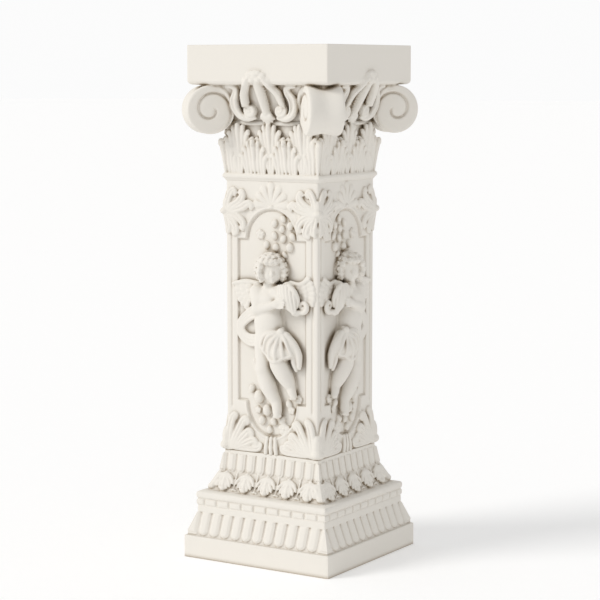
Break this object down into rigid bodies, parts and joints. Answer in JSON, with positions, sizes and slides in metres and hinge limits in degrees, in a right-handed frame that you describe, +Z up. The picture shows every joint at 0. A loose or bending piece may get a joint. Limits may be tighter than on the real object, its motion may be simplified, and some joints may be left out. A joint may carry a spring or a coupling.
{
  "type": "column pedestal",
  "caption": "Square cast column pedestal with a leaf capital, corner volutes, putto relief panels and a stepped base, for holding a plant or bust.",
  "frame": {"origin": "centre of the underside, on the floor", "axes": "+Z up the column, -Y out of the front panel, +X out of the right panel"},
  "size_m": [0.2808, 0.2808, 0.76],
  "materials": {
    "cast_stone": "matte warm white casting with beige wash left in the hollows"
  },
  "bodies": {
    "root": {"column_pedestal": "cast_stone"}
  },
  "joints": []
}
